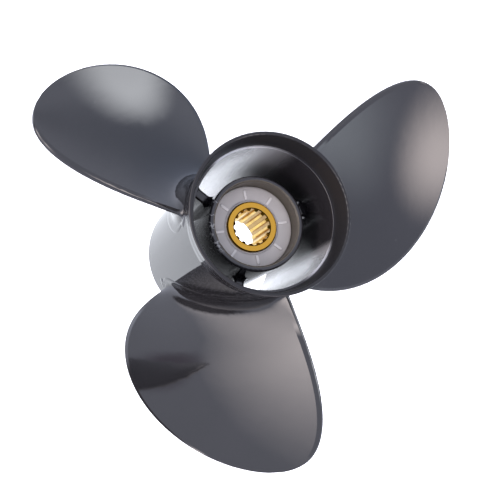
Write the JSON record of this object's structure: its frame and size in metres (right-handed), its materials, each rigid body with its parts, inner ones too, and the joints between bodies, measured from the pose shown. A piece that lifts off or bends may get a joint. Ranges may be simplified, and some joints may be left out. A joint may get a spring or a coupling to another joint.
{
  "type": "boat propeller",
  "caption": "Right-hand outboard propeller with through-hub exhaust, a flared aft ring, and a rubber drive bush on a splined brass sleeve.",
  "frame": {"origin": "on the shaft axis, in the plane of the barrel's front rim", "axes": "+Z along the shaft axis toward aft, +Y along the first blade's own axis, +X to starboard of it seen from aft"},
  "size_m": [0.2987, 0.29, 0.164],
  "materials": {
    "painted_casting": "gloss black paint over cast aluminium",
    "grey_rubber": "matte moulded",
    "brass": "machined satin"
  },
  "bodies": {
    "casting": {"propeller_casting": "painted_casting"},
    "drive_hub": {"rubber_bush": "grey_rubber", "splined_sleeve": "brass"}
  },
  "joints": [
    {"name": "hub_slip", "type": "hinge", "parent": "casting", "child": "drive_hub", "pos_m": [0, 0, 0.09], "axis": [0, 0, 1], "continuous": true}
  ]
}
